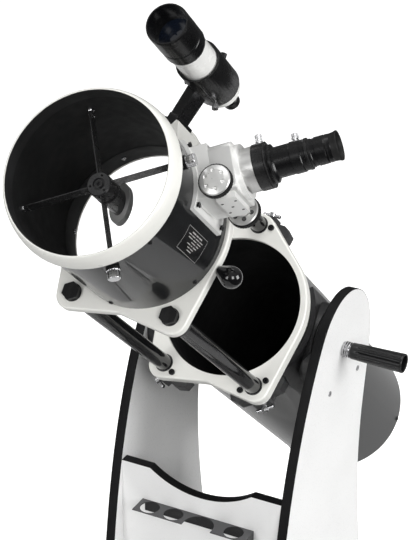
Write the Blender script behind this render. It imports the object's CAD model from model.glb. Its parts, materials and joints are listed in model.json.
# Reflecting telescope with an open strut tube on a white rocker base.
# Metres, +Z up.  The azimuth axis is Z through the origin and the floor is z = 0.  The tube tilts
# about PIVOT; its open end points up and toward -Y.  Right is +X.
import json
import math
import bmesh
import bpy
from mathutils import Matrix, Vector


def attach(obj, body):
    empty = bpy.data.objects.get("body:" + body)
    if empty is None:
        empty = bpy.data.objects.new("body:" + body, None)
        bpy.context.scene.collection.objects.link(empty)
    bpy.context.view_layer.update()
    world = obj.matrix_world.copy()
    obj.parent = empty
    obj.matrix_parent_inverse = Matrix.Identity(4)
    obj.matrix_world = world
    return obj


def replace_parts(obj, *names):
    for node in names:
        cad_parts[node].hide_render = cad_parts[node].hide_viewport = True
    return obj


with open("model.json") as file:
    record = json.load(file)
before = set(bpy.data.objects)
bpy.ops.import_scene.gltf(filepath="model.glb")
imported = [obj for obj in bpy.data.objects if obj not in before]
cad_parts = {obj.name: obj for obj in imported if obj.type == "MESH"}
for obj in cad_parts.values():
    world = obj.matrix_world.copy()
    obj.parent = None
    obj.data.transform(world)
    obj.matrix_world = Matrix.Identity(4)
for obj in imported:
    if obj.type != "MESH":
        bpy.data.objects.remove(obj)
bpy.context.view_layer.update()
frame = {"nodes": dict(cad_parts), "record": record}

NODES = frame["nodes"]
SLOTS = {r["node"]: r["material_slot"] for r in frame["record"]["subparts"]}

# ------------------------------------------------------------------ places and directions
MM = 0.001
ALTITUDE = math.radians(43.24)
ORIGIN = Vector((0, 0, 0))
PIVOT = Vector((0.0, 0.045, 0.595))
RIGHT = Vector((1, 0, 0))
ACROSS = Vector((0, math.sin(ALTITUDE), math.cos(ALTITUDE)))       # square to the tube, upward
AXIS = Vector((0, -math.cos(ALTITUDE), math.sin(ALTITUDE)))        # along the tube, to its open end


def outward(angle):
    """Radial direction on the tube; the angle runs from RIGHT toward ACROSS, in radians."""
    return RIGHT * math.cos(angle) + ACROSS * math.sin(angle)


def tangent(angle):
    return -RIGHT * math.sin(angle) + ACROSS * math.cos(angle)


FOCUSER_ANGLE = math.radians(28.2)
FOCUSER_OUT = outward(FOCUSER_ANGLE)
FOCUSER_SIDE = tangent(FOCUSER_ANGLE)
FOCUSER = PIVOT + AXIS * 0.5555                                    # focuser axis meets tube axis
FOCUS_SHAFT = FOCUSER + FOCUSER_OUT * 0.1515 + FOCUSER_SIDE * -0.03105
FLAT_NORMAL = (FOCUSER_OUT - AXIS).normalized()

FINDER_ANGLE = math.radians(78.6)
FINDER_OUT = outward(FINDER_ANGLE)
FINDER = PIVOT + FINDER_OUT * 0.220                                # on the finder's own axis
CHROME_SCREW_ANGLE = math.radians(-122.0)                          # about the finder axis
CHROME_SCREW_OUT = (tangent(FINDER_ANGLE) * math.cos(CHROME_SCREW_ANGLE)
                    + FINDER_OUT * math.sin(CHROME_SCREW_ANGLE))

# Strut lock screws: (right, across) of each, in mm from the tube axis
LOCK_SCREWS = {"top": (0.0, 136.3), "right": (77.2, -113.2), "left": (-77.2, -113.2)}


def placement(x_axis, y_axis, z_axis, origin):
    rows = zip(zip(x_axis, y_axis, z_axis), origin)
    return Matrix([(*row, shift) for row, shift in rows] + [(0, 0, 0, 1)])


def on_tube(degrees, station):
    """x tangential, y along the tube, z outward; the station is in mm from the pivot."""
    angle = math.radians(degrees)
    return placement(tangent(angle), AXIS, outward(angle), PIVOT + AXIS * station * MM)


# ------------------------------------------------------------------ shader building
class Graph:
    """A node tree being built.  Object coordinates are the frame's coordinates at rest."""

    def __init__(self, owner, output="OutputMaterial", coords="Object"):
        owner.use_nodes = True
        self.tree = owner.node_tree
        self.tree.nodes.clear()
        self.output = self.add(output)
        self.coords = self.add("TexCoord").outputs[coords]

    def add(self, kind, inputs=None, **settings):
        node = self.tree.nodes.new("ShaderNode" + kind)
        for key, value in settings.items():
            setattr(node, key, value)
        for key, value in (inputs or {}).items():
            self.feed(node.inputs[key], value)
        return node

    def feed(self, socket, value):
        """Link a socket, or set a number, vector or RGB colour."""
        if isinstance(value, bpy.types.NodeSocket):
            self.tree.links.new(value, socket)
        else:
            socket.default_value = (*value, 1) if socket.type == "RGBA" else value

    def principled(self, inputs):
        return self.add("BsdfPrincipled", inputs).outputs[0]

    def noise(self, scale, detail=4.0, rough=0.55, stretch=None):
        vector = self.coords
        if stretch:
            vector = self.add("Mapping", {"Vector": vector, "Scale": stretch}).outputs[0]
        return self.add("TexNoise", {"Vector": vector, "Scale": scale, "Detail": detail,
                                     "Roughness": rough}).outputs["Fac"]

    def remap(self, value, to, span=(0.0, 1.0)):
        """Carry the range `span` to the range `to`."""
        return self.add("MapRange", dict(enumerate((value, *span, *to)))).outputs[0]

    def mix(self, factor, first, second):
        return self.add("Mix", {0: factor, 6: first, 7: second}, data_type="RGBA").outputs[2]

    def bump(self, height, strength, distance):
        return self.add("Bump", {"Strength": strength, "Distance": distance,
                                 "Height": height}).outputs[0]

    def math(self, operation, first, second):
        return self.add("Math", {0: first, 1: second}, operation=operation).outputs[0]

    def vector(self, operation, *values):
        return self.add("VectorMath", dict(enumerate(values)), operation=operation).outputs

    # Masks: 1 where the name holds, 0 elsewhere
    def past(self, origin, direction, limit):
        offset = self.vector("SUBTRACT", self.coords, origin)[0]
        distance = self.vector("DOT_PRODUCT", offset, direction)["Value"]
        return self.math("GREATER_THAN", distance, limit)

    def outside(self, origin, axis, radius):
        offset = self.vector("SUBTRACT", self.coords, origin)[0]
        across = self.vector("CROSS_PRODUCT", offset, axis)[0]
        return self.math("GREATER_THAN", self.vector("LENGTH", across)["Value"], radius)

    def invert(self, mask):
        return self.math("SUBTRACT", 1.0, mask)

    def both(self, first, second):
        return self.math("MULTIPLY", first, second)


def surface(graph, color, rough=0.4, rough_drift=0.06, metal=0.0, spec=0.5, coat=0.0,
            coat_rough=0.06, drift=0.06, drift_scale=18.0, grain=900.0, grain_bump=0.06,
            grain_depth=0.0002, stretch=None, worn=None, upward=None, rim=0.0, anisotropic=0.0):
    """Colour and roughness drift with a fine grain.

    drift is a share of the colour and grain a noise scale.  worn colours the sharp edges,
    upward colours faces that look up, and rim is a glow at grazing angles.
    """
    fine = graph.noise(grain, 3, 0.6, stretch)
    middle = graph.noise(drift_scale * 3.7, 4)
    dark = tuple(c * (1 - drift) for c in color)
    light = tuple(min(1.0, c * (1 + drift) + 0.002) for c in color)
    tone = graph.mix(graph.remap(graph.noise(drift_scale, 5), (0, 1), span=(0.3, 0.7)), dark, light)
    if worn:
        sharp = graph.add("NewGeometry").outputs["Pointiness"]
        patchy = graph.remap(fine, (0, 0.8), span=(0.35, 0.6))
        sharp = graph.remap(sharp, (0, 1), span=(0.52, 0.62))
        tone = graph.mix(graph.both(sharp, patchy), tone, worn)
    if upward:
        normal = graph.add("NewGeometry").outputs["Normal"]
        height = graph.add("SeparateXYZ", {0: normal}).outputs["Z"]
        tone = graph.mix(graph.remap(height, (0, 1), span=(0.4, 0.9)), tone, upward)
    inputs = {
        "Base Color": tone,
        "Metallic": metal,
        "Coat Weight": coat,
        "Coat Roughness": coat_rough,
        "Specular IOR Level": spec,
        "Anisotropic": anisotropic,
        "Roughness": graph.remap(middle, (max(0.02, rough - rough_drift), rough + rough_drift),
                                 span=(0.3, 0.7)),
        "Normal": graph.bump(fine, grain_bump, grain_depth),
    }
    if rim:
        facing = graph.add("LayerWeight", {0: 0.5}).outputs["Facing"]
        inputs["Emission Color"] = (1, 1, 1)
        inputs["Emission Strength"] = graph.both(graph.math("POWER", facing, 6.0), rim)
    return graph.principled(inputs)


def shade(graph, part):
    """A part is either a dict of surface() settings or a function that builds a shader."""
    return part(graph) if callable(part) else surface(graph, **part)


def blend(base, other, mask):
    """Two parts, `other` where mask(graph) is 1."""
    def build(graph):
        return graph.add("MixShader", {0: mask(graph), 1: shade(graph, base),
                                       2: shade(graph, other)}).outputs[0]
    return build


MATERIALS = {}


def material(name, part):
    made = bpy.data.materials.new(name)
    graph = Graph(made)
    graph.feed(graph.output.inputs[0], shade(graph, part))
    MATERIALS[name] = made


def finish(name, color, **settings):
    material(name, dict(color=color, **settings))


# ------------------------------------------------------------------ special shaders
def enamel(graph):
    """Dark flake enamel under clear coat."""
    flake = graph.noise(2600, 2, 0.7)
    waves = graph.noise(7, 3)
    tone = graph.mix(graph.remap(flake, (0, 1), span=(0.42, 0.62)),
                     (0.0032, 0.0034, 0.0037), (0.014, 0.0147, 0.016))
    height = graph.math("ADD", graph.remap(flake, (0, 0.06)), waves)
    return graph.principled({
        "Base Color": tone, "Metallic": 0.2, "Roughness": 0.34, "Specular IOR Level": 0.15,
        "Coat Weight": 0.75, "Coat Roughness": 0.03,
        "Normal": graph.bump(height, strength=0.012, distance=0.0006)})


def laminate(edge_radius=None):
    """White melamine with faint orange peel; black past edge_radius from the azimuth axis."""
    def build(graph):
        peel = graph.noise(520, 3, 0.5)
        tone = graph.mix(graph.remap(graph.noise(6, 4), (0, 1), span=(0.3, 0.7)),
                         (0.80, 0.80, 0.795), (0.86, 0.86, 0.855))
        if edge_radius:
            edge = graph.outside(ORIGIN, Vector((0, 0, 1)), edge_radius)
            tone = graph.mix(edge, tone, (0.022, 0.022, 0.024))
            rough = graph.remap(edge, (0.33, 0.5))
        else:
            rough = graph.remap(peel, (0.26, 0.36), span=(0.3, 0.7))
        return graph.principled({
            "Base Color": tone, "Roughness": rough,
            "Normal": graph.bump(peel, strength=0.05, distance=0.0003)})
    return build


def hazed_mirror(graph):
    haze = graph.noise(60, 6, 0.7)
    tone = graph.mix(graph.remap(haze, (0, 1), span=(0.35, 0.75)),
                     (0.90, 0.91, 0.93), (0.96, 0.965, 0.97))
    return graph.principled({
        "Base Color": tone, "Metallic": 1.0,
        "Roughness": graph.remap(haze, (0.01, 0.04), span=(0.4, 0.8))})


def lens(tint):
    """Dark interior under a sharp coat with a faint film colour."""
    def build(graph):
        facing = graph.add("LayerWeight", {0: 0.35}).outputs["Facing"]
        film = graph.mix(facing, (0.006, 0.008, 0.014), tint)
        cloud = graph.remap(graph.noise(30, 2), (0.0, 0.35))
        return graph.principled({
            "Base Color": graph.mix(cloud, film, (0.004, 0.004, 0.006)),
            "Roughness": 0.03, "Coat Weight": 1.0, "Coat Roughness": 0.01})
    return build


# ------------------------------------------------------------------ shared surface settings
BLACK_ANODISED = dict(color=(0.0024, 0.0024, 0.0028), rough=0.27, rough_drift=0.015, spec=0.26,
                      coat=0.10, coat_rough=0.10, drift=0.2, grain=1500, grain_bump=0.05,
                      worn=(0.03, 0.03, 0.03), rim=0.05)
CHROME = dict(color=(0.58, 0.58, 0.59), rough=0.17, metal=1.0, drift=0.08, drift_scale=70,
              grain=1600, grain_bump=0.05)
RUBBER = dict(color=(0.010, 0.010, 0.010), rough=0.55, spec=0.2, drift=0.25, grain=800,
              grain_bump=0.3)
GRIP = dict(color=(0.0045, 0.0045, 0.005), rough=0.30, rough_drift=0.02, spec=0.28, coat=0.10,
            coat_rough=0.10, drift=0.2, grain=1100, grain_bump=0.14, worn=(0.05, 0.05, 0.05))
DIAL = dict(color=(0.58, 0.58, 0.57), rough=0.33, metal=0.6, drift=0.04, grain=1600,
            grain_bump=0.05)
CREAM = dict(color=(0.74, 0.737, 0.70), rough=0.33, coat=0.35, coat_rough=0.12, drift=0.03,
             drift_scale=12, grain=420, grain_bump=0.10, grain_depth=0.0005)
SILVER = dict(color=(0.56, 0.56, 0.55), rough=0.40, metal=0.30, coat=0.2, coat_rough=0.25,
              drift=0.04, grain=1500, grain_bump=0.22, grain_depth=0.0003)
PALE = dict(color=(0.74, 0.74, 0.725), rough=0.36, metal=0.12, coat=0.25, coat_rough=0.2,
            drift=0.03, grain=1300, grain_bump=0.15, grain_depth=0.0003)
TUBE_INSIDE = dict(color=(0.0065, 0.0065, 0.0068), rough=0.66, drift=0.25, grain=700,
                   grain_bump=0.25, spec=0.25)
MIRROR = dict(color=(0.90, 0.91, 0.93), metal=1.0, drift=0.02, rough_drift=0.01, grain_bump=0.0)

# ------------------------------------------------------------------ materials of the record's slots
material("white_melamine", laminate())
material("white_melamine_round", laminate(edge_radius=0.2538))
finish("black_edging", (0.007, 0.007, 0.0075), rough=0.55, spec=0.10, drift=0.2, grain=260,
       grain_bump=0.35, grain_depth=0.0004, stretch=(1, 1, 1))
finish("foot_rubber", (0.02, 0.02, 0.021), rough=0.6, drift=0.2, grain=700, grain_bump=0.3)
finish("white_nylon", (0.78, 0.78, 0.74), rough=0.45, drift=0.03, grain=500, grain_bump=0.1)
finish("zinc_steel", (0.60, 0.60, 0.61), rough=0.30, metal=1.0, drift=0.10, drift_scale=60,
       grain=1800, grain_bump=0.1)
finish("rack_steel", (0.012, 0.012, 0.013), rough=0.42, metal=0.1, spec=0.25, coat=0.05,
       coat_rough=0.3, upward=(0.085, 0.085, 0.088), drift=0.12, grain=1500, grain_bump=0.22,
       worn=(0.18, 0.18, 0.18))
finish("bearing_plastic", (0.014, 0.014, 0.015), rough=0.38, drift=0.2, grain=1300,
       grain_bump=0.22, worn=(0.06, 0.06, 0.06))
# Enamel outside the tube wall, flat black inside
material("tube_enamel", blend(TUBE_INSIDE, enamel, lambda g: g.outside(PIVOT, AXIS, 0.11575)))
MATERIALS["tube_paint"] = MATERIALS["tube_enamel"]      # the record's name for this slot
finish("cream_casting", **CREAM)
finish("strut_black", (0.004, 0.004, 0.0045), rough=0.16, spec=0.2, coat=0.38, coat_rough=0.05,
       rim=0.03, drift=0.2, grain=900, grain_bump=0.02)
finish("gloss_black", (0.003, 0.003, 0.0035), rough=0.12, spec=0.2, coat=0.6, coat_rough=0.02,
       rim=0.5, drift=0.15, grain=300, grain_bump=0.015)
finish("cap_black", (0.005, 0.005, 0.0055), rough=0.36, spec=0.14, coat=0.05, coat_rough=0.15,
       drift=0.15, grain=900, grain_bump=0.12, worn=(0.05, 0.05, 0.05))
finish("black_hardware", (0.010, 0.010, 0.011), rough=0.32, metal=0.3, spec=0.3, drift=0.15,
       drift_scale=80, grain=1500, grain_bump=0.10, worn=(0.15, 0.15, 0.15))
finish("chrome_hardware", (0.78, 0.78, 0.79), rough=0.14, metal=1.0, drift=0.06, drift_scale=70,
       grain=1600, grain_bump=0.04)
finish("cell_casting", (0.16, 0.16, 0.165), rough=0.48, metal=0.8, drift=0.12, grain=700,
       grain_bump=0.35, grain_depth=0.0004)
finish("knob_plastic", (0.016, 0.016, 0.017), rough=0.45, drift=0.2, grain=1000,
       grain_bump=0.25, worn=(0.06, 0.06, 0.06))
material("mirror_silver", hazed_mirror)
finish("handle_grip", (0.010, 0.010, 0.011), rough=0.32, coat=0.15, coat_rough=0.25, drift=0.2,
       grain=1100, grain_bump=0.16, worn=(0.05, 0.05, 0.05))
finish("spider_black", (0.010, 0.010, 0.011), rough=0.26, metal=0.1, coat=0.35, coat_rough=0.1,
       drift=0.2, grain=900, grain_bump=0.12, worn=(0.05, 0.05, 0.05))
finish("focuser_silver", **SILVER)
finish("draw_silver", (0.60, 0.60, 0.59), rough=0.36, metal=0.7, drift=0.05, grain=1300,
       grain_bump=0.06, anisotropic=0.5)
finish("dial_silver", (0.64, 0.64, 0.63), rough=0.27, metal=0.9, drift=0.05, grain=1600,
       grain_bump=0.10)
finish("black_anodised", **BLACK_ANODISED)
finish("rubber", (0.016, 0.016, 0.016), rough=0.62, drift=0.25, grain=800, grain_bump=0.3)
finish("finder_white", (0.82, 0.82, 0.80), rough=0.25, coat=0.7, coat_rough=0.08, drift=0.03,
       grain=400, grain_bump=0.04)
finish("flat_black", (0.004, 0.004, 0.004), rough=0.9, drift=0.2, grain=700, grain_bump=0.3,
       spec=0.15)
finish("print_white", (0.40, 0.40, 0.395), rough=0.45, drift=0.03, grain=900, grain_bump=0.05)

# ------------------------------------------------------------------ materials of single parts
# Silver dials with rubber rims
material("dial_and_rubber", blend(
    DIAL, RUBBER, lambda g: g.both(g.outside(FOCUS_SHAFT, AXIS, 0.02143), 1.0)))
finish("chrome", **CHROME)
finish("thread_chrome", (0.46, 0.46, 0.47), rough=0.20, metal=1.0, drift=0.08, drift_scale=70,
       grain=1600, grain_bump=0.05)
finish("fluted_grip", **GRIP)
finish("sleeve_satin", (0.013, 0.013, 0.0135), rough=0.55, spec=0.35, drift=0.2, grain=700,
       grain_bump=0.2)
finish("collar_grey", (0.034, 0.034, 0.035), rough=0.5, spec=0.3, drift=0.15, grain=900,
       grain_bump=0.12)
# Black screws at the front of the rocker, zinc behind
material("zinc_and_black_screws", blend(
    dict(color=(0.42, 0.42, 0.43), rough=0.34, metal=0.85, drift=0.10, drift_scale=60,
         grain=1800, grain_bump=0.1),
    dict(color=(0.010, 0.010, 0.011), rough=0.4, spec=0.3, drift=0.1, grain=1500,
         grain_bump=0.1),
    lambda g: g.past(ORIGIN, Vector((0, -1, 0)), 0.12)))
material("black_and_chrome_screws", blend(
    dict(color=(0.010, 0.010, 0.011), rough=0.32, metal=0.3, spec=0.3, drift=0.15, grain=1500,
         grain_bump=0.10),
    CHROME, lambda g: g.past(FINDER, CHROME_SCREW_OUT, 0.026)))
# Chrome near each lock screw's axis point, black grip material farther out
for side, (right, across) in LOCK_SCREWS.items():
    out = outward(math.atan2(across, right))
    centre = PIVOT + out * 0.1652 + AXIS * 0.071
    material("t_bar_" + side, blend(CHROME, GRIP, lambda g: g.outside(centre, out, 0.0142)))
material("spider_nuts", blend(
    dict(color=(0.008, 0.008, 0.008), rough=0.4, spec=0.2, drift=0.2, grain=900,
         grain_bump=0.2),
    CHROME, lambda g: g.outside(PIVOT, AXIS, 0.1215)))
# Cream outside, dark bore
material("front_ring", blend(
    dict(color=(0.013, 0.013, 0.0135), rough=0.6, drift=0.25, grain=700, grain_bump=0.25,
         spec=0.25),
    CREAM, lambda g: g.outside(PIVOT, AXIS, 0.11485)))
# Pale at the outer end and at one side
material("focuser_two_tone", blend(SILVER, PALE, lambda g: g.math(
    "MAXIMUM", g.past(FOCUSER, FOCUSER_OUT, 0.1705), g.past(FOCUSER, -FOCUSER_SIDE, 0.0375))))
finish("focuser_pale", **PALE)
# Both mirrors are silvered on the front face only
material("flat_mirror", blend(
    dict(color=(0.36, 0.36, 0.355), rough=0.45, coat=0.3, drift=0.12, grain=1400,
         grain_bump=0.3),
    dict(MIRROR, rough=0.03), lambda g: g.past(FOCUSER, FLAT_NORMAL, -0.00012)))
material("primary_glass", blend(
    dict(color=(0.30, 0.36, 0.34), rough=0.35, drift=0.08, grain=1200, grain_bump=0.2),
    dict(MIRROR, rough=0.02),
    lambda g: g.both(g.past(PIVOT, AXIS, -0.4085), g.invert(g.outside(PIVOT, AXIS, 0.1012)))))
# Black body, eye lens near the axis, rubber cup at the outer end
material("eyepiece_body_cup", blend(
    blend(BLACK_ANODISED, lens((0.03, 0.08, 0.05)), lambda g: g.both(
        g.invert(g.outside(FOCUSER, FOCUSER_OUT, 0.0086)), g.past(FOCUSER, FOCUSER_OUT, 0.2955))),
    RUBBER, lambda g: g.past(FOCUSER, FOCUSER_OUT, 0.2985)))
# The lens is a disc between two stations along the finder
material("finder_cell", blend(BLACK_ANODISED, lens((0.03, 0.05, 0.10)), lambda g: g.both(
    g.invert(g.outside(FINDER, AXIS, 0.02517)),
    g.both(g.past(FINDER, AXIS, 0.6495), g.invert(g.past(FINDER, AXIS, 0.6585))))))

# Parts that don't take the material of their slot
PART_MATERIALS = {
    "ground_board": "white_melamine_round",
    "ground_feet": "foot_rubber",
    "strut_hex_caps": "cap_black",
    "focuser_drawtube": "draw_silver",
    "secondary_mirror": "flat_mirror",
    "primary_mirror": "primary_glass",
    "focus_knobs": "dial_and_rubber",
    "tension_handle_right": "fluted_grip",
    "tension_handle_left": "fluted_grip",
    "rocker_screws": "zinc_and_black_screws",
    "finder_adjust_screws": "black_and_chrome_screws",
    "focuser_body": "focuser_two_tone",
    "focuser_base": "focuser_pale",
    "upper_screws": "cap_black",
    "strut_collars": "collar_grey",
    "strut_lock_screw_top": "t_bar_top",
    "strut_lock_screw_right": "t_bar_right",
    "strut_lock_screw_left": "t_bar_left",
    "spider_tension_nuts": "spider_nuts",
    "eyepiece": "eyepiece_body_cup",
    "finder_objective_cell": "finder_cell",
    "front_ring": "front_ring",
}
for node, part in NODES.items():
    part.data.materials.clear()
    part.data.materials.append(MATERIALS[PART_MATERIALS.get(node, SLOTS[node])])


# ------------------------------------------------------------------ mesh building
def piece(name, forms, material_name, body):
    """One object from several (vertices, faces) forms; slot_of names the part whose slot it takes."""
    verts, faces = [], []
    for form_verts, form_faces in forms:
        start = len(verts)
        verts += [tuple(v) for v in form_verts]
        faces += [tuple(i + start for i in face) for face in form_faces]
    mesh = bpy.data.meshes.new(name)
    mesh.from_pydata(verts, [], faces)
    mesh.materials.append(MATERIALS[material_name])
    bm = bmesh.new()
    bm.from_mesh(mesh)
    bmesh.ops.remove_doubles(bm, verts=bm.verts, dist=1e-7)
    bmesh.ops.recalc_face_normals(bm, faces=bm.faces)
    bm.to_mesh(mesh)
    bm.free()
    for polygon in mesh.polygons:
        polygon.use_smooth = True
    mesh.set_sharp_from_angle(angle=math.radians(38))
    made = bpy.data.objects.new(name, mesh)
    bpy.context.scene.collection.objects.link(made)
    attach(made, body)
    return made


def turned(profile, place, segments=96, shape=None, closed=False):
    """Turned form about z of `place`.  The profile is (radius, height) in mm;
    shape(angle, radius, height) gives a changed radius, and closed joins the profile's ends."""
    verts, rows, faces = [], [], []
    for radius, height in profile:
        if radius < 1e-6:
            rows.append([len(verts)] * segments)
            verts.append(place @ Vector((0, 0, height * MM)))
            continue
        row = []
        for k in range(segments):
            angle = 2 * math.pi * k / segments
            r = (shape(angle, radius, height) if shape else radius) * MM
            row.append(len(verts))
            verts.append(place @ Vector((r * math.cos(angle), r * math.sin(angle), height * MM)))
        rows.append(row)
    pairs = list(zip(rows, rows[1:]))
    if closed:
        pairs.append((rows[-1], rows[0]))
    for lower, upper in pairs:
        for k in range(segments):
            j = (k + 1) % segments
            # A row on the axis repeats one vertex, so its quads become triangles
            face = tuple(dict.fromkeys((lower[k], lower[j], upper[j], upper[k])))
            if len(face) > 2:
                faces.append(face)
    return verts, faces


def tube_patch(start, end, station0, station1, radius):
    """Curved rectangle about the tube: angles in degrees, the rest in mm."""
    steps = int((end - start) / 1.5) + 1
    verts = []
    for i in range(steps + 1):
        out = outward(math.radians(start + (end - start) * i / steps))
        for station in (station0, station1):
            verts.append(PIVOT + out * (radius * MM) + AXIS * station * MM)
    faces = [(k, k + 1, k + 3, k + 2) for k in range(0, 2 * steps, 2)]
    return verts, faces


# ------------------------------------------------------------------ label plate
TUBE_RADIUS = 116.2                     # mm
LABEL_LIFT = 0.12                       # mm off the tube
LABEL_LINE = 0.55                       # mm, width of the outline
LABEL_ANGLES = (-22.0, -5.0)
LABEL_STATIONS = (511.0, 580.0)
# (angle, half height in degrees, [(first station, last station), ...])
LABEL_ROWS = [
    (-7.4, 0.42, [(528, 539), (541, 549), (551, 563)]),
    (-9.4, 0.28, [(521, 533), (535, 546), (549, 560), (562, 571)]),
    (-11.3, 0.28, [(524, 537), (540, 551), (554, 568)]),
    (-13.2, 0.28, [(527, 536), (539, 553)]),
    (-15.1, 0.28, [(530, 541), (544, 549), (551, 562)]),
    (-17.0, 0.28, [(536, 546), (548, 556)]),
    (-18.9, 0.28, [(538, 553)]),
]


def label_plate():
    """Thin outline round rows of plain bars."""
    a0, a1 = LABEL_ANGLES
    s0, s1 = LABEL_STATIONS
    line = math.degrees(LABEL_LINE / TUBE_RADIUS)
    patches = [(a0, a0 + line, s0, s1), (a1 - line, a1, s0, s1),
               (a0, a1, s0, s0 + LABEL_LINE), (a0, a1, s1 - LABEL_LINE, s1)]
    for angle, half, spans in LABEL_ROWS:
        patches += [(angle - half, angle + half, first, last) for first, last in spans]
    forms = [tube_patch(*patch, TUBE_RADIUS + LABEL_LIFT) for patch in patches]
    piece("label_plate", forms, "print_white", "upper")


# ------------------------------------------------------------------ pull knob
EAR_STATIONS = [(v.co - PIVOT).dot(AXIS) for v in NODES["ear_ring"].data.vertices]
EAR_BACK = min(EAR_STATIONS) / MM
EAR_FACE = max(EAR_STATIONS) / MM

BALL_RADIUS = 15.8                      # mm; heights are from the tube axis
BALL_HEIGHT = 146.2
NECK_RADIUS = 7.2
NECK_HEIGHT = 124.9


def pull_knob():
    """Glossy drop: a straight cone that runs tangent into a ball."""
    rise = BALL_HEIGHT - NECK_HEIGHT
    slope = math.atan2(rise, NECK_RADIUS) - math.acos(BALL_RADIUS / math.hypot(NECK_RADIUS, rise))
    touch_radius = BALL_RADIUS * math.cos(slope)
    touch_height = BALL_HEIGHT - BALL_RADIUS * math.sin(slope)
    profile = [(0, 117.6), (4, 117.6), (4, 124.35), (NECK_RADIUS - 0.4, 124.35),
               (NECK_RADIUS, NECK_HEIGHT)]
    for i in range(1, 9):
        profile.append((NECK_RADIUS + (touch_radius - NECK_RADIUS) * i / 8,
                        NECK_HEIGHT + (touch_height - NECK_HEIGHT) * i / 8))
    for i in range(1, 33):
        angle = -slope + (math.pi / 2 + slope) * i / 32
        profile.append((BALL_RADIUS * math.cos(angle) if i < 32 else 0.0,
                        BALL_HEIGHT + BALL_RADIUS * math.sin(angle)))
    place = on_tube(-15.0, (EAR_BACK + EAR_FACE) / 2)
    knob = piece("pull_knob_drop", [turned(profile, place, segments=128)], "gloss_black", "upper")
    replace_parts(knob, "pull_knob")


# ------------------------------------------------------------------ focus dials
def dial_recesses():
    """Six dark discs on the inner face of each focus dial."""
    holes = []
    for side in (1, -1):
        for k in range(6):
            angle = math.radians(60 * k + 30)
            centre = FOCUS_SHAFT + AXIS * 0.004 + (
                FOCUSER_OUT * math.cos(angle) + FOCUSER_SIDE * math.sin(angle)) * 0.0134
            place = placement(FOCUSER_OUT, FOCUSER_SIDE * -side, AXIS * side, centre)
            holes.append(turned([(0, 50.88), (3.3, 50.88), (3.3, 51.3), (0, 51.3)], place,
                                segments=36))
    piece("dial_recesses", holes, "black_hardware", "focus_knobs")


# ------------------------------------------------------------------ tension handles
# (radius, distance from the tube axis) in mm
COLLAR_PROFILE = [
    (0, 126.0), (4.6, 126.0), (5.0, 126.4), (5.0, 142.0), (10.0, 142.0), (10.0, 157.7),
    (11.6, 157.75), (11.6, 160.3),
    (12.5, 160.5), (12.9, 160.9), (12.9, 162.2), (12.5, 162.7), (11.0, 162.9), (11.0, 164.0),
    (12.4, 164.2), (12.8, 164.6), (12.8, 165.9), (12.4, 166.4), (10.8, 166.6), (10.8, 167.6),
    (12.2, 167.8), (12.6, 168.2), (12.6, 169.5), (12.2, 170.0), (10.4, 170.2), (10.4, 171.2),
    (0, 171.2),
]
GRIP_NECK = [(0, 171.3), (11.0, 171.3), (12.4, 171.8), (13.0, 173.0), (13.2, 175.2), (13.2, 176.0)]
GRIP_STATIONS = (181, 182.5, 184, 185.5, 187, 189, 195, 205, 215, 225, 235, 245, 252, 256.5, 256.9)
GRIP_END = [(15.45, 257.6), (15.3, 259.2), (14.8, 260.0), (13.4, 260.1), (12.9, 259.6),
            (12.6, 258.4), (12.4, 251.0), (11.0, 250.2), (0, 250.0)]
TAPER_RADIUS, TAPER_START = GRIP_NECK[-1]
TAPER_LENGTH = 80.9
TAPER_GROWTH = 2.2
FLUTES = 10
FLUTE_DEPTH = 2.3
FLUTE_WIDTH = 6.0                       # degrees
FLUTE_RUN_IN = 8.0
KNURLS = 32
KNURL_DEPTH = 0.2


def knurl(angle, radius, height):
    """Shallow ribs on the three rings of the collar."""
    if radius <= 12.3:
        return radius
    return radius - KNURL_DEPTH * (0.5 + 0.5 * math.cos(KNURLS * angle))


def flute(angle, radius, height):
    if radius < 12.95 or height < GRIP_STATIONS[0] or height > GRIP_STATIONS[-1]:
        return radius
    ramp = min(1.0, (height - GRIP_STATIONS[0]) / FLUTE_RUN_IN)
    ramp = ramp * ramp * (3 - 2 * ramp)
    turn = (angle / (2 * math.pi) * FLUTES) % 1.0
    degrees_off = min(turn, 1 - turn) * 360 / FLUTES
    return radius - FLUTE_DEPTH * ramp * math.exp(-(degrees_off / FLUTE_WIDTH) ** 2)


def tension_handle(node, body, place):
    """Ringed chrome collar and a tapered, fluted grip with a hollow end."""
    piece(node + "_collar", [turned(COLLAR_PROFILE, place, shape=knurl)], "thread_chrome", body)
    taper = [(TAPER_RADIUS + (h - TAPER_START) / TAPER_LENGTH * TAPER_GROWTH, h)
             for h in GRIP_STATIONS]
    form = turned(GRIP_NECK + taper + GRIP_END, place, segments=240, shape=flute)
    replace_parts(piece(node + "_grip", [form], "fluted_grip", body), node)


# ------------------------------------------------------------------ upper tube
def tube_end_sleeve():
    """Inner sleeve where the upper tube meets its eared ring."""
    start = EAR_BACK + 3.3
    profile = [(115.05, start), (113.7, start), (113.6, start + 0.3), (113.6, 485.4),
               (113.9, 486.0), (115.05, 486.2)]
    place = placement(RIGHT, ACROSS, AXIS, PIVOT)
    piece("upper_end_sleeve", [turned(profile, place, segments=160, closed=True)],
          "sleeve_satin", "upper")


# (angle in degrees, station in mm); only the lower screws have nuts
LOWER_SCREWS = [(-31.0, 473.0), (-95.5, 473.0), (-166.0, 461.0), (127.0, 473.0)]
UPPER_SCREWS = [(-31.5, 638.5), (-95.5, 638.5), (160.0, 638.5), (104.0, 638.5)]
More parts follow.
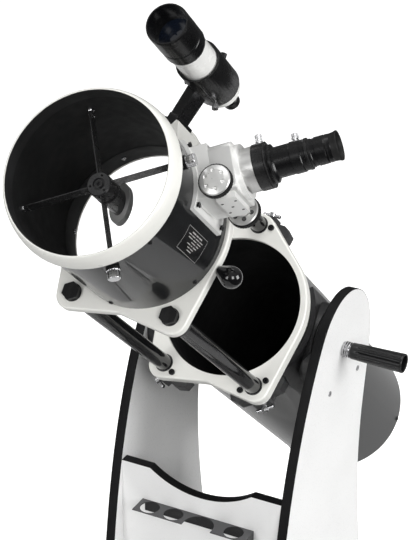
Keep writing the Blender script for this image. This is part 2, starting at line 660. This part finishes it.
# (radius, distance from the tube axis) in mm
SCREW_HEAD = [(0, 116.0), (3.4, 116.0), (3.4, 116.7), (3.1, 117.4), (2.4, 118.0), (1.5, 118.2),
              (1.4, 117.2), (0, 117.2)]
SCREW_NUT = [(0, 113.9), (3.6, 113.6), (3.6, 111.6), (3.2, 111.1), (1.9, 111.0), (1.9, 110.0),
             (1.5, 109.6), (0, 109.6)]
HEX_NUT = [(3.1, 115.1), (4.9, 115.1), (4.9, 112.0), (4.5, 111.5), (3.1, 111.4)]
PIN = [(0, 108.2), (1.6, 108.2), (1.6, 106.4), (0, 106.2)]


def small_screws():
    """Button heads outside the tube; nuts inside, with a hex nut and a pin at each quarter."""
    heads = [turned(SCREW_HEAD, on_tube(*spot), segments=36)
             for spot in LOWER_SCREWS + UPPER_SCREWS]
    nuts = [turned(SCREW_NUT, on_tube(*spot), segments=36) for spot in LOWER_SCREWS]
    for quarter in range(4):
        angle = 28.5 + 90 * quarter
        nuts.append(turned(HEX_NUT, on_tube(angle, 630.0), segments=6, closed=True))
        nuts.append(turned(PIN, on_tube(angle, 622.8), segments=24))
    piece("tube_button_screws", heads, "cap_black", "upper")
    piece("tube_inner_nuts", nuts, "chrome", "upper")


# ------------------------------------------------------------------ edge radii
EDGE_RADII = {
    0.0008: ("focuser_body",),
    0.0006: ("side_board_right", "side_board_left", "rocker_edge_bands", "focuser_base",
             "strut_clamps", "altitude_cradles", "mirror_cell", "rear_frame"),
    0.0005: ("front_board", "finder_bracket", "finder_shoe"),
    0.0003: ("eyepiece_rack",),
}


def round_edges(node, width):
    """Weld the split vertices, then bevel the sharp edges."""
    weld = NODES[node].modifiers.new("weld", "WELD")
    weld.merge_threshold = 1e-6
    bevel = NODES[node].modifiers.new("round", "BEVEL")
    bevel.width = width
    bevel.segments = 2
    bevel.limit_method = "ANGLE"
    bevel.angle_limit = math.radians(32)
    bevel.use_clamp_overlap = True
    bevel.harden_normals = True
    bevel.profile = 0.5


# ------------------------------------------------------------------ stage, light and camera
def floor_shader(graph):
    """Near white to the camera, a dimmer grey to light and reflections."""
    seen = graph.add("LightPath").outputs["Is Camera Ray"]
    tone = graph.mix(graph.noise(3, 4), (0.86, 0.86, 0.855), (0.90, 0.90, 0.895))
    return graph.principled({
        "Base Color": graph.mix(seen, (0.50, 0.50, 0.50), tone),
        "Roughness": 0.7, "Specular IOR Level": 0.2, "Emission Color": (1, 1, 1),
        "Emission Strength": graph.remap(seen, (0.06, 0.62))})


def stage_floor():
    mesh = bpy.data.meshes.new("floor")
    x0, x1, y0, y1 = -4.0, 0.68, -3.4, 3.2
    mesh.from_pydata([(x0, y0, 0), (x1, y0, 0), (x1, y1, 0), (x0, y1, 0)], [], [(0, 1, 2, 3)])
    floor = bpy.data.objects.new("floor", mesh)
    bpy.context.scene.collection.objects.link(floor)
    material("pale_floor", floor_shader)
    mesh.materials.append(MATERIALS["pale_floor"])


def studio_world():
    """White to the camera; otherwise a soft dome, dark below and brighter above."""
    world = bpy.data.worlds.new("studio")
    bpy.context.scene.world = world
    graph = Graph(world, output="OutputWorld", coords="Generated")
    height = graph.add("SeparateXYZ", {0: graph.coords}).outputs["Z"]
    ramp = graph.add("ValToRGB", {0: graph.remap(height, (0, 1), span=(-1, 1))})
    stops = ramp.color_ramp.elements
    stops[0].position = 0.0
    stops[0].color = (0.02, 0.02, 0.02, 1)
    stops[1].position = 1.0
    stops[1].color = (0.50, 0.50, 0.50, 1)
    for position, grey in ((0.47, 0.02), (0.56, 0.08), (0.72, 0.24)):
        stops.new(position).color = (grey, grey, grey, 1)
    dome = graph.add("Background", {0: ramp.outputs[0], 1: 1.0}).outputs[0]
    white = graph.add("Background", {0: (1, 1, 1), 1: 1.0}).outputs[0]
    seen = graph.add("LightPath").outputs["Is Camera Ray"]
    mixed = graph.add("MixShader", {0: seen, 1: dome, 2: white}).outputs[0]
    graph.feed(graph.output.inputs[0], mixed)


def area_light(name, at, toward, size, power):
    light = bpy.data.lights.new(name, "AREA")
    light.energy = power
    light.shape = "RECTANGLE"
    light.size, light.size_y = size
    lamp = bpy.data.objects.new(name, light)
    bpy.context.scene.collection.objects.link(lamp)
    lamp.location = at
    lamp.rotation_euler = (Vector(toward) - Vector(at)).to_track_quat("-Z", "Y").to_euler()


def lights():
    area_light("key", at=(2.6, -2.8, 2.3), toward=(0, -0.1, 0.7), size=(1.3, 1.7), power=68)
    area_light("right", at=(3.3, 0.1, 1.5), toward=(0, 0, 0.7), size=(1.6, 1.6), power=84)
    area_light("front", at=(-0.9, -3.3, 1.9), toward=(0, 0, 0.6), size=(1.2, 1.6), power=42)
    area_light("top", at=(0.1, 0.1, 3.3), toward=(0, 0, 0.6), size=(1.8, 1.8), power=32)
    area_light("left", at=(-2.8, 0.3, 1.8), toward=(0, 0, 0.8), size=(1.0, 1.6), power=10)


def camera():
    lens_data = bpy.data.cameras.new("camera")
    view = bpy.data.objects.new("camera", lens_data)
    bpy.context.scene.collection.objects.link(view)
    view.location = (1.22955, -2.46381, 2.12653)
    # Looks 28.25 degrees down, turned 27.74 degrees from +Y toward -X
    view.rotation_euler = (math.radians(90 - 28.2508), 0, math.radians(27.7395))
    lens_data.sensor_fit = "AUTO"
    lens_data.sensor_width = 36
    lens_data.lens = 133.04
    lens_data.shift_x = 0.0043
    lens_data.shift_y = 0.0721
    lens_data.clip_end = 100
    bpy.context.scene.camera = view


# ------------------------------------------------------------------ build
label_plate()
pull_knob()
dial_recesses()
tension_handle("tension_handle_right", "handle_right", placement(ACROSS, AXIS, RIGHT, PIVOT))
tension_handle("tension_handle_left", "handle_left", placement(AXIS, ACROSS, -RIGHT, PIVOT))
tube_end_sleeve()
small_screws()
for width, nodes in EDGE_RADII.items():
    for node in nodes:
        round_edges(node, width)

stage_floor()
studio_world()
lights()
camera()
bpy.context.scene.view_settings.view_transform = "Standard"
